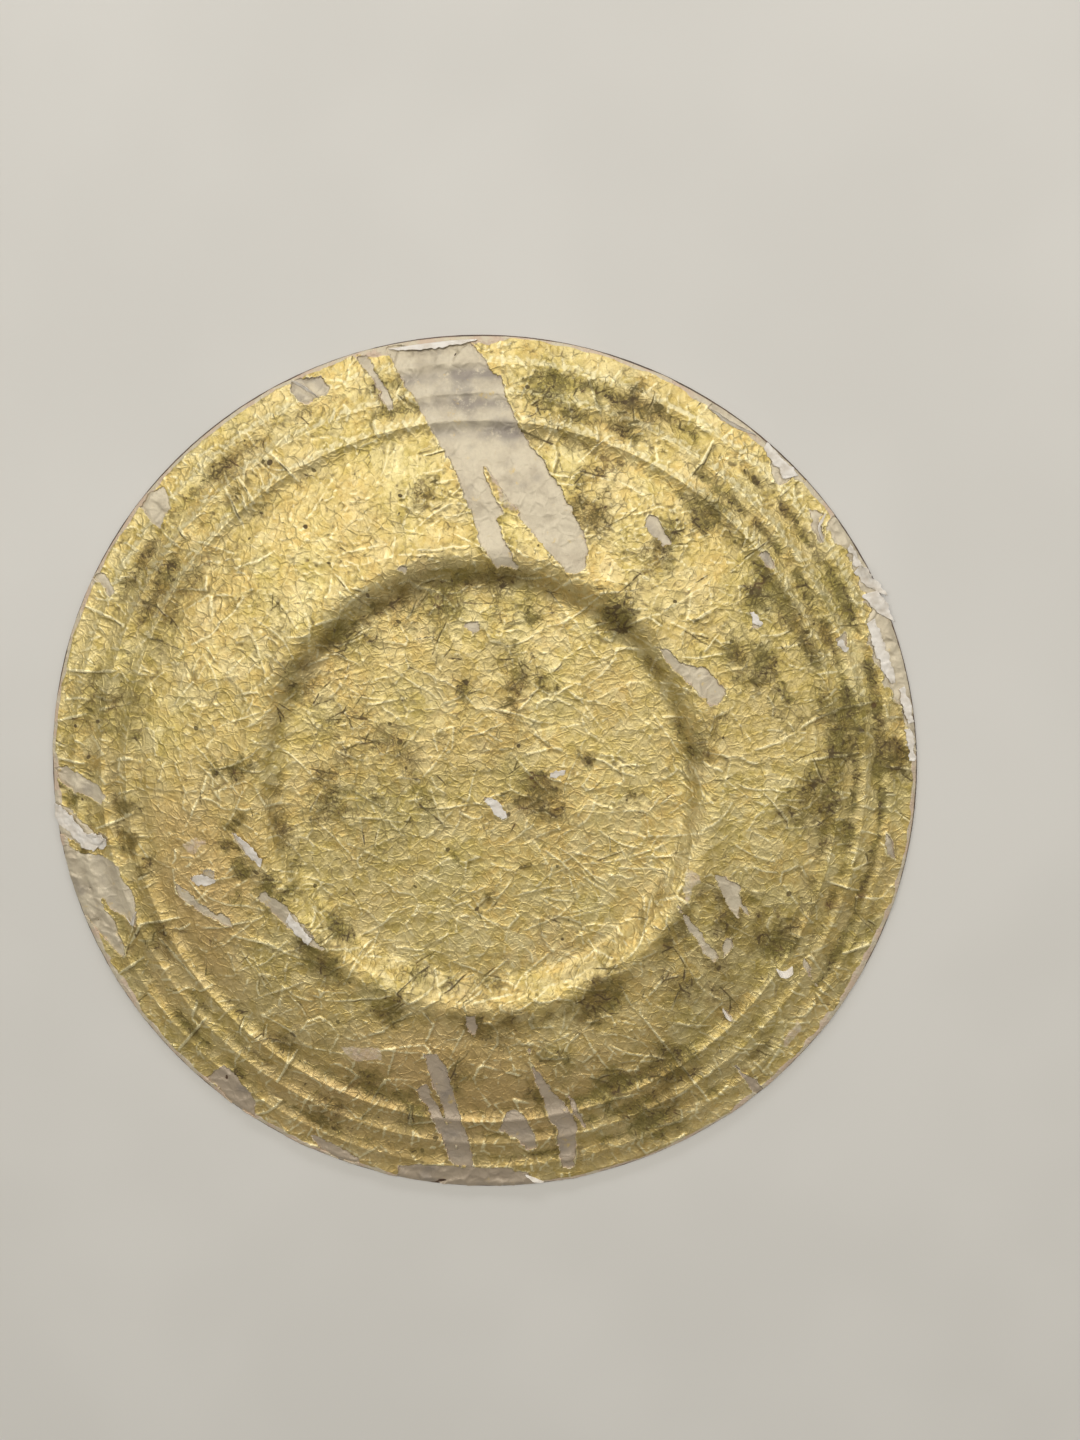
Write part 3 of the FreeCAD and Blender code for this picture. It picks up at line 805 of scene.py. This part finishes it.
# Scraps of torn paper that still hang on one side: that side's line, the free side's line, and how high
# the free side stands.
SCRAPS = {
    "left_fold": (
        [(-165, -13), (-162, -17.5), (-158, -21.5), (-155, -25), (-150.5, -26.5)],
        [(-164.5, -7.5), (-161, -10), (-156.5, -15), (-152.8, -20), (-146, -22)], 1.1,
    ),
    "left_fold_end": (
        [(-153.5, -22), (-150, -24.5), (-147, -25.5), (-145.5, -24)],
        [(-153, -20), (-150, -19.5), (-146.5, -19.8), (-145, -22)], 1.5,
    ),
    "left_flake": (
        [(-113, -38.5), (-110.5, -40.5), (-107, -40), (-103.8, -38.5)],
        [(-112.5, -37), (-109.5, -35.8), (-106.5, -36.8), (-103.5, -37.3)], 0.9,
    ),
    "left_tongue": (
        [(-95.8, -19.7), (-92.5, -25.6), (-88.9, -30.3), (-85.9, -32.7)],
        [(-95.3, -19.3), (-91.8, -22.3), (-88.2, -26.4), (-85, -29.6)], 1.0,
    ),
    "lip_flake": (
        [(-77, -54.5), (-73, -59.5), (-68.5, -64)], [(-75.5, -51.5), (-71, -56.5), (-67, -62)], 0.6,
    ),
    "well_flake": (
        [(1.2, -6.5), (3.8, -11), (5.6, -13), (7.5, -14)],
        [(2, -5.4), (5.6, -6.2), (9, -10.5), (9.7, -13.2)], 0.5,
    ),
    "well_flake_small": ([(26, 3), (28.5, 2.4), (31.5, 3.4)], [(26.3, 4.8), (29, 5.6), (32, 5.4)], 0.4),
    "right_speck": ([(133, 54), (134.5, 51.5), (136.5, 50)], [(134, 54.8), (136, 53), (137, 51)], 0.8),
    "right_spark": ([(100, 64.5), (102, 61), (104, 59.5)], [(101.5, 65.2), (103.5, 63), (105, 60.5)], 0.7),
    "right_fold_top": (
        [(135.5, 88), (137.5, 85), (138.5, 81.5)], [(136.5, 90), (139.5, 86), (141.5, 82)], 0.7,
    ),
    "right_fold_peak": (
        [(138.5, 80), (140.5, 77), (143, 74.5), (147, 72.5)],
        [(140.5, 82.5), (144.5, 79), (149, 73.5), (150.5, 71)], 1.6,
    ),
    "right_fold_middle": (
        [(142, 71.5), (144, 68), (148, 64.5)], [(147, 73), (151, 68), (153.5, 61.5)], 1.3,
    ),
    "right_fold_long": (
        [(144, 61), (145.5, 55), (148, 48.5), (151, 42.5), (153.5, 38)],
        [(146, 62.5), (149, 56.5), (151.5, 49.5), (154, 44), (155.5, 39)], 0.9,
    ),
    "right_fold_low": (
        [(156.5, 36), (158.5, 29), (160.5, 23)], [(158.5, 37.5), (161, 31), (162.5, 24)], 0.8,
    ),
    "right_fold_tail": ([(159.5, 21), (161, 15), (162, 9)], [(161.5, 21.5), (163, 15), (163.5, 9)], 0.5),
    "right_shelf": (
        [(104, 124.5), (107.5, 119), (112, 113.5)], [(105, 126.5), (111, 120.5), (116.5, 114.5)], 0.4,
    ),
}


def spline_points(points, step):
    """Points about step apart on a smooth line through the given ones."""
    given = np.array(points, float)
    ends = np.concatenate([[2 * given[0] - given[1]], given, [2 * given[-1] - given[-2]]])
    line = []
    for p0, p1, p2, p3 in zip(ends, ends[1:], ends[2:], ends[3:]):
        count = max(2, int(np.linalg.norm(p2 - p1) / step))
        for t in np.linspace(0, 1, count, endpoint=False):
            line.append(0.5 * (2 * p1 + (p2 - p0) * t + (2 * p0 - 5 * p1 + 4 * p2 - p3) * t**2
                               + (3 * p1 - p0 - 3 * p2 + p3) * t**3))
    line.append(given[-1])
    return np.array(line)


def add_strip(name, points, count, material):
    """A piece of thin paper from rows of count points each."""
    rows = np.arange(len(points) // count - 1)[:, None]
    cell = (rows * count + np.arange(count - 1)).ravel()
    quads = np.column_stack([cell, cell + 1, cell + 1 + count, cell + count])
    piece = add_piece(name, make_mesh(name, points, quads), material)
    thick = piece.modifiers.new("thickness", "SOLIDIFY")
    thick.thickness = STRIP_THICKNESS * MM
    thick.offset = 0.0


def make_curl(name, spine, width, turn_degrees, stand, material, seed):
    """One tongue: attached along spine, it crosses to the left and rolls back over itself."""
    line = spline_points(on_face(spine), 0.45)
    along = np.gradient(line, axis=0)
    along /= np.linalg.norm(along, axis=1, keepdims=True)
    across = np.column_stack([-along[:, 1], along[:, 0]])
    place = np.linspace(0, 1, len(line))
    ragged = 1.0 + 0.25 * lattice_noise(line[:, 0] * 3, line[:, 1] * 3, 4.0, seed)
    widths = width * ragged * (0.12 + 0.88 * np.sin(np.pi * place) ** 0.7)
    turns = math.radians(turn_degrees) * (0.75 + 0.35 * lattice_noise(line[:, 0], line[:, 1], 5.0, seed + 1))
    bend = np.maximum(turns, 0.05)
    rows = []
    for share in np.linspace(0, 1, 9):
        out = widths * np.sin(bend * share) / bend
        rise = widths * (1 - np.cos(bend * share)) / bend
        flat = line + across * out[:, None]
        ground = gold_height(flat[:, 0], flat[:, 1])
        rows.append(np.column_stack([flat, ground + rise + stand * min(1.0, 3 * share) + 0.03]))
    add_strip(name, np.concatenate(rows), len(line), material)


def evenly(points, count):
    """count points spaced evenly along the straight runs between the given ones."""
    line = np.array(points)
    run = np.concatenate([[0.0], np.cumsum(np.linalg.norm(np.diff(line, axis=0), axis=1))])
    places = np.linspace(0.0, run[-1], count)
    return np.column_stack([np.interp(places, run, line[:, axis]) for axis in (0, 1)])


def make_scrap(name, held_side, free_side, stand, material, seed):
    """One scrap: a crumpled strip of paper between two lines, rising from the first to the second."""
    length = np.linalg.norm(np.diff(np.array(held_side), axis=0), axis=1).sum()
    width = np.linalg.norm(np.array(held_side[1]) - np.array(free_side[1]))
    count, steps = int(length / STRIP_SPACING) + 2, int(width / STRIP_SPACING) + 3
    held, free = (evenly(on_face(side), count) for side in (held_side, free_side))
    share = np.linspace(0.0, 1.0, steps)[:, None, None]
    flat = (held * (1 - share) + free * share).reshape(-1, 2)
    share = np.repeat(share.ravel(), count)
    outward = (free - held) / np.maximum(np.linalg.norm(free - held, axis=1, keepdims=True), 0.1)
    ragged = 1.3 * fractal(flat[:, 0], flat[:, 1], 2.4, 3, seed, 0.7)[:, None]
    flat = flat + np.tile(outward, (steps, 1)) * ragged * (2 * share[:, None] - 1)
    x, y = flat.T
    ground = face_height(np.hypot(x, y)) + GOLD_LIFT + np.maximum(sample(GOLD_RELIEF, x, y), 0.1)
    crumple = 0.35 * np.abs(fractal(x, y, 2.6, 2, seed + 1)) + 0.12 * fractal(x, y, 1.1, 1, seed + 2)
    rise = stand * share**1.4 * (0.75 + 0.5 * lattice_noise(x, y, 3.0, seed + 3))
    add_strip(name, np.column_stack([x, y, ground + 0.06 + rise + crumple]), count, material)


# ------------------------------------------------------------------------------ materials
class Shader:
    """A material's node tree, with short calls for the nodes used here."""

    def __init__(self, name):
        self.material = bpy.data.materials.new(name)
        self.material.use_nodes = True
        self.tree = self.material.node_tree
        self.surface = self.tree.nodes["Principled BSDF"]
        self.place = self.add("ShaderNodeTexCoord").outputs["Object"]

    def add(self, kind, inputs=None, **settings):
        node = self.tree.nodes.new(kind)
        for key, value in settings.items():
            setattr(node, key, value)
        for key, value in (inputs or {}).items():
            self.put(value, node.inputs[key])
        return node

    def put(self, value, socket):
        if isinstance(value, bpy.types.NodeSocket):
            self.tree.links.new(value, socket)
        else:
            socket.default_value = value

    def mask(self, name):
        return self.add("ShaderNodeAttribute", attribute_name=name).outputs["Fac"]

    def texture(self, kind, size_mm, where, inputs=None, **settings):
        """The outputs of a texture whose bumps or cells are size_mm across."""
        inputs = {"Vector": where, "Scale": 1 / (size_mm * MM), **(inputs or {})}
        return self.add(kind, inputs, **settings).outputs

    def noise(self, size_mm, detail=3.0, roughness=0.55):
        inputs = {"Detail": detail, "Roughness": roughness}
        return self.texture("ShaderNodeTexNoise", size_mm, self.place, inputs)["Fac"]

    def bent_place(self, size_mm, reach_mm, detail=2.0):
        """The place, pushed about by a noise, so that cell patterns lose their straight sides."""
        push = self.texture("ShaderNodeTexNoise", size_mm, self.place, {"Detail": detail})["Color"]
        centred = self.vector_maths("SUBTRACT", {0: push, 1: (0.5, 0.5, 0.5)})
        scaled = self.vector_maths("SCALE", {0: centred, "Scale": 2 * reach_mm * MM})
        return self.vector_maths("ADD", {0: self.place, 1: scaled})

    def borders(self, size_mm, where):
        """The distance to the nearest cell border, in cells."""
        return self.texture("ShaderNodeTexVoronoi", size_mm, where, feature="DISTANCE_TO_EDGE")["Distance"]

    def cells(self, size_mm, where):
        """A random number for each cell."""
        colour = self.texture("ShaderNodeTexVoronoi", size_mm, where)["Color"]
        return self.add("ShaderNodeSeparateColor", {0: colour}).outputs[0]

    def step(self, value, low, high, low_out=0.0, high_out=1.0):
        inputs = {0: value, 1: low, 2: high, 3: low_out, 4: high_out}
        return self.add("ShaderNodeMapRange", inputs, interpolation_type="SMOOTHSTEP").outputs[0]

    def maths(self, operation, a, b, c=0.0, clamp=False):
        inputs = {0: a, 1: b, 2: c}
        return self.add("ShaderNodeMath", inputs, operation=operation, use_clamp=clamp).outputs[0]

    def vector_maths(self, operation, inputs):
        return self.add("ShaderNodeVectorMath", inputs, operation=operation).outputs[0]

    def times(self, a, b):
        return self.maths("MULTIPLY", a, b)

    def scaled_sum(self, a, factor, b):
        """a times factor, plus b."""
        return self.maths("MULTIPLY_ADD", a, factor, b)

    def mix(self, share, a, b):
        inputs = {0: share, 6: a, 7: b}
        return self.add("ShaderNodeMix", inputs, data_type="RGBA", clamp_factor=True).outputs[2]

    def bump(self, height, distance_mm, strength, normal=None):
        inputs = {"Height": height, "Distance": distance_mm * MM, "Strength": strength}
        if normal is not None:
            inputs["Normal"] = normal
        return self.add("ShaderNodeBump", inputs).outputs[0]

    def finish(self, **sockets):
        for key, value in sockets.items():
            self.put(value, self.surface.inputs[key.replace("_", " ")])
        return self.material


GOLD_BRIGHT = (0.775, 0.645, 0.28, 1)
GOLD_PALE_AND_HIGHLIGHT = (0.95, 0.86, 0.52, 1)
GOLD_OLIVE = (0.54, 0.43, 0.12, 1)
GOLD_WARM = (0.70, 0.51, 0.17, 1)
GOLD_ROSE = (0.61, 0.425, 0.18, 1)
PATINA_OLIVE = (0.12, 0.092, 0.022, 1)
PATINA_BROWN = (0.06, 0.035, 0.012, 1)
PATINA_RUST = (0.10, 0.048, 0.018, 1)
WASH_GREEN = (0.215, 0.178, 0.035, 1)
WASH_BROWN = (0.225, 0.152, 0.033, 1)
PAPER_WHITE = (0.67, 0.595, 0.44, 1)
PAPER_PINK = (0.66, 0.52, 0.39, 1)
PAPER_TAN = (0.50, 0.43, 0.31, 1)
PAPER_LOWER_DARK = (0.42, 0.34, 0.25, 1)
STAIN_AND_SHADE_GREY = (0.27, 0.235, 0.20, 1)


def gold_material():
    """Antique-gold tissue: mottled gold with a painted highlight on ridges and crests, olive and brown
    patina in lines and clouds with painted shadow beside creases, worn to paper.
    """
    s = Shader("crinkled_gold_tissue")
    bent = s.bent_place(7.0, 2.4, 4.0)
    mask_names = ("patina", "veins_and_shadows", "hollow_and_highlight", "wear", "blush")
    patina, veins_and_shadows, hollow_and_highlight, wear, blush = map(s.mask, mask_names)

    # The gold's own tones, and a painted highlight of pale gold along its ridges and crests.
    tone = s.mix(s.step(s.noise(24.0), 0.4, 0.62), GOLD_OLIVE, GOLD_WARM)
    tone = s.mix(s.step(s.noise(3.2, 5.0, 0.65), 0.36, 0.66), tone, GOLD_BRIGHT)
    tone = s.mix(s.times(s.step(s.cells(7.0, bent), 0.3, 1.0), 0.35), tone, GOLD_PALE_AND_HIGHLIGHT)
    tone = s.mix(s.times(s.step(s.cells(3.0, bent), 0.5, 1.0), 0.3), tone, GOLD_OLIVE)
    tone = s.mix(s.times(blush, 0.85), tone, GOLD_ROSE)
    # Painted highlight: pale gold where the relief stands above its neighbourhood and on the crests.
    tone = s.mix(s.times(s.step(hollow_and_highlight, -0.01, -0.065), 0.8), tone, GOLD_PALE_AND_HIGHLIGHT)

    # Dark patina: two nets, clouds, the seams beside creases (patina with painted shadow), and what is sunk
    # between them.
    fine_net = s.borders(4.4, bent)
    fine = s.step(s.scaled_sum(patina, 0.3, s.noise(5.0)), 0.56, 0.7, 0.0, 0.65)
    fine = s.times(s.step(fine_net, 0.07, 0.0), fine)
    web = s.step(s.scaled_sum(patina, 0.5, s.noise(3.0)), 0.72, 0.9)
    web = s.times(s.step(s.borders(1.7, bent), 0.15, 0.02, 0.0, 0.6), web)
    clouds = s.step(s.scaled_sum(patina, 0.2, s.noise(1.7, 5.0, 0.7)), 0.73, 0.82)
    seams_and_shadows = s.step(s.scaled_sum(s.noise(1.2, 3.0, 0.6), 0.5, veins_and_shadows), 0.44, 0.7)
    dark = s.maths("MAXIMUM", s.maths("MAXIMUM", fine, clouds), s.maths("MAXIMUM", web, seams_and_shadows))
    sunk = s.times(s.step(hollow_and_highlight, 0.005, 0.07), s.step(s.noise(7.0), 0.35, 0.6))
    dark = s.maths("MAXIMUM", dark, s.times(sunk, 0.7), clamp=True)

    # A thin wash over the gold, then the dark patina, then bare paper where the gold is worn off.
    wash = s.step(s.scaled_sum(s.noise(4.5, 8.0, 0.78), 1.7, patina), 0.94, 1.98, 0.0, 0.82)
    colour = s.mix(wash, tone, s.mix(s.step(s.noise(30.0), 0.42, 0.58), WASH_GREEN, WASH_BROWN))
    patina_tone = s.mix(s.step(s.noise(6.0, 2.0), 0.42, 0.62), PATINA_OLIVE, PATINA_BROWN)
    patina_tone = s.mix(s.step(s.noise(11.0, 2.0), 0.62, 0.7), patina_tone, PATINA_RUST)
    colour = s.mix(s.times(dark, 0.88), colour, patina_tone)
    paper = s.mix(s.step(s.noise(6.0, 4.0), 0.4, 0.6), PAPER_WHITE, PAPER_PINK)
    bare = s.step(s.scaled_sum(s.noise(1.6, 4.0, 0.7), 0.5, wear), 0.66, 1.0)
    colour = s.mix(bare, colour, paper)

    # Patina and paper are rougher than gold and less metallic, and creases too fine for the mesh are bump.
    dull = s.maths("MAXIMUM", s.times(dark, 0.8), s.times(bare, 0.6))
    metal = s.scaled_sum(dull, -0.55, 0.58)
    rough = s.scaled_sum(dull, 0.3, s.step(s.noise(3.0, 4.0), 0.3, 0.7, 0.4, 0.54))
    grain = s.bump(s.noise(0.5, 4.0, 0.6), 0.1, 0.45)
    crinkle = s.bump(s.step(s.borders(2.2, bent), 0.2, 0.0), 0.06, 0.8, grain)
    folds = s.bump(s.step(fine_net, 0.14, 0.0), 0.11, 0.85, crinkle)
    return s.finish(Base_Color=colour, Metallic=metal, Roughness=rough, Normal=folds)


def lining_material():
    """White tissue with a glue sheen: mottled with tan smudges, grey stains and painted shade in the flute
    hollows, darker towards the bottom, and gold traces.
    """
    s = Shader("white_tissue")
    bent = s.bent_place(5.0, 1.5)
    colour = s.mix(s.step(s.noise(9.0, 5.0, 0.6), 0.42, 0.7), PAPER_WHITE, PAPER_TAN)
    colour = s.mix(s.step(s.noise(1.3, 4.0, 0.7), 0.4, 0.75, 0.0, 0.35), colour, PAPER_TAN)
    # Darker towards the bottom of the plate.
    lower_darkening = s.step(s.scaled_sum(s.noise(6.0, 5.0, 0.65), 0.5, s.mask("lower_darkening")), 0.35, 1.0)
    colour = s.mix(s.times(lower_darkening, 0.85), colour, PAPER_LOWER_DARK)
    # Grey: painted shade in the flute hollows, and stains.
    smudge_and_shade = s.times(s.mask("stain_and_hollow_shade"), s.step(s.noise(2.4, 5.0, 0.7), 0.27, 0.5))
    colour = s.mix(s.times(smudge_and_shade, 0.9), colour, STAIN_AND_SHADE_GREY)
    traces = s.step(s.noise(5.0, 6.0, 0.72), 0.6, 0.7)
    colour = s.mix(s.times(traces, 0.6), colour, GOLD_WARM)
    fibres = s.bump(s.noise(0.6, 4.0, 0.65), 0.12, 0.6)
    folds = s.bump(s.step(s.borders(5.0, bent), 0.2, 0.0), 0.2, 0.5, fibres)
    return s.finish(Base_Color=colour, Metallic=0.2, Roughness=0.46, Normal=folds)


def curl_material():
    """The bare white back of the torn paper."""
    s = Shader("torn_paper_back")
    colour = s.mix(s.step(s.noise(4.0, 4.0), 0.35, 0.7), (0.86, 0.82, 0.75, 1), (0.72, 0.66, 0.57, 1))
    return s.finish(Base_Color=colour, Roughness=0.85, Normal=s.bump(s.noise(0.7, 3.0), 0.1, 0.5))


def core_material():
    """Dark-brown satin lacquer over moulded board, rubbed where the plate stands."""
    s = Shader("brown_lacquer")
    tone = s.mix(s.step(s.noise(18.0, 4.0), 0.35, 0.65), (0.055, 0.03, 0.018, 1), (0.11, 0.062, 0.036, 1))
    specks = s.step(s.noise(1.3, 3.0, 0.7), 0.6, 0.7)
    tone = s.mix(s.times(specks, 0.35), tone, (0.2, 0.13, 0.08, 1))
    height = s.add("ShaderNodeSeparateXYZ", {0: s.place}).outputs["Z"]
    at_seat = s.step(height, 0.9 * MM, 0.1 * MM)
    rubbed = s.times(at_seat, s.step(s.noise(3.0, 5.0, 0.7), 0.42, 0.6))
    colour = s.mix(s.times(rubbed, 0.8), tone, (0.3, 0.2, 0.12, 1))
    rough = s.maths("ADD", s.step(s.noise(6.0, 4.0), 0.3, 0.7, 0.34, 0.48), s.times(rubbed, 0.3))
    pebbles = s.bump(s.noise(1.1, 3.0, 0.6), 0.12, 0.35)
    waves = s.bump(s.noise(12.0, 2.0), 0.5, 0.3, pebbles)
    return s.finish(Base_Color=colour, Roughness=rough, Normal=waves)


def floor_material():
    s = Shader("pale_floor")
    tone = s.mix(s.step(s.noise(120.0, 2.0), 0.35, 0.65), (0.70, 0.69, 0.655, 1), (0.73, 0.72, 0.685, 1))
    return s.finish(Base_Color=tone, Roughness=0.9)


# ------------------------------------------------------------------------------ the plate
gold, lining, bare_paper = gold_material(), lining_material(), curl_material()
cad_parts["plate_core"].data.materials.clear()
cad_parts["plate_core"].data.materials.append(core_material())
for piece in make_gold_ply(gold):
    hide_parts("gold_paper")
for piece in make_lining_ply(lining):
    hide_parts("lining_paper")
for number, (name, (spine, width, turn_degrees, stand)) in enumerate(CURLS.items()):
    make_curl("curl_" + name, spine, width, turn_degrees, stand, bare_paper, 500 + number)
for number, (name, (held_side, free_side, stand)) in enumerate(SCRAPS.items()):
    make_scrap("scrap_" + name, held_side, free_side, stand, bare_paper, 560 + 5 * number)

# ------------------------------------------------------------------------------ stage, light and camera
def area_light(name, place, size, power, colour):
    """A rectangle of light that faces the plate's centre."""
    light = bpy.data.lights.new(name, "AREA")
    light.shape = "RECTANGLE"
    light.size, light.size_y = size
    light.energy = power
    light.color = colour
    lamp = bpy.data.objects.new(name, light)
    lamp.location = place
    lamp.rotation_euler = (Vector((0, 0, 0)) - Vector(place)).to_track_quat("-Z", "Y").to_euler()
    bpy.context.scene.collection.objects.link(lamp)


# In metres: half the floor's side, and how far it lies below the rim's seat.
FLOOR_HALF, FLOOR_DROP = 3.0, 0.0002
floor_mesh = bpy.data.meshes.new("floor")
corners = [(FLOOR_HALF * x, FLOOR_HALF * y, -FLOOR_DROP) for x, y in ((-1, -1), (1, -1), (1, 1), (-1, 1))]
floor_mesh.from_pydata(corners, [], [(0, 1, 2, 3)])
floor_mesh.materials.append(floor_material())
floor = bpy.data.objects.new("floor", floor_mesh)
bpy.context.scene.collection.objects.link(floor)

# Place and size in metres, power in watts, colour.
LIGHTS = {
    "ceiling": ((0.0, 0.75, 1.9), (2.4, 1.3), 27.5, (1.0, 0.955, 0.88)),
    "key": ((0.0, 1.9, 0.8), (1.8, 0.35), 12.0, (0.96, 0.965, 1.0)),
    "left_fill": ((-1.05, 0.1, 1.75), (0.7, 0.7), 4.5, (1.0, 0.95, 0.88)),
    "right_fill": ((1.5, 0.0, 1.65), (0.7, 0.7), 4.0, (1.0, 0.96, 0.9)),
}
for name, light in LIGHTS.items():
    area_light(name, *light)
world = bpy.data.worlds.new("room")
world.use_nodes = True
world.node_tree.nodes["Background"].inputs["Color"].default_value = (0.95, 0.93, 0.88, 1)
world.node_tree.nodes["Background"].inputs["Strength"].default_value = 0.12
bpy.context.scene.world = world
bpy.context.scene.view_settings.view_transform = "Standard"

# The camera stands at EYE, tilted about x and then turned about its own y (radians).
CAMERA_TILT, CAMERA_TURN = -0.1381, 0.0189
camera_data = bpy.data.cameras.new("camera")
camera_data.sensor_width = 36.0
camera_data.lens = 27.05
camera = bpy.data.objects.new("camera", camera_data)
camera.location = [value * MM for value in EYE]
camera_turn = Euler((CAMERA_TILT, 0, 0)).to_matrix() @ Euler((0, CAMERA_TURN, 0)).to_matrix()
camera.rotation_euler = camera_turn.to_euler()
bpy.context.scene.collection.objects.link(camera)
bpy.context.scene.camera = camera
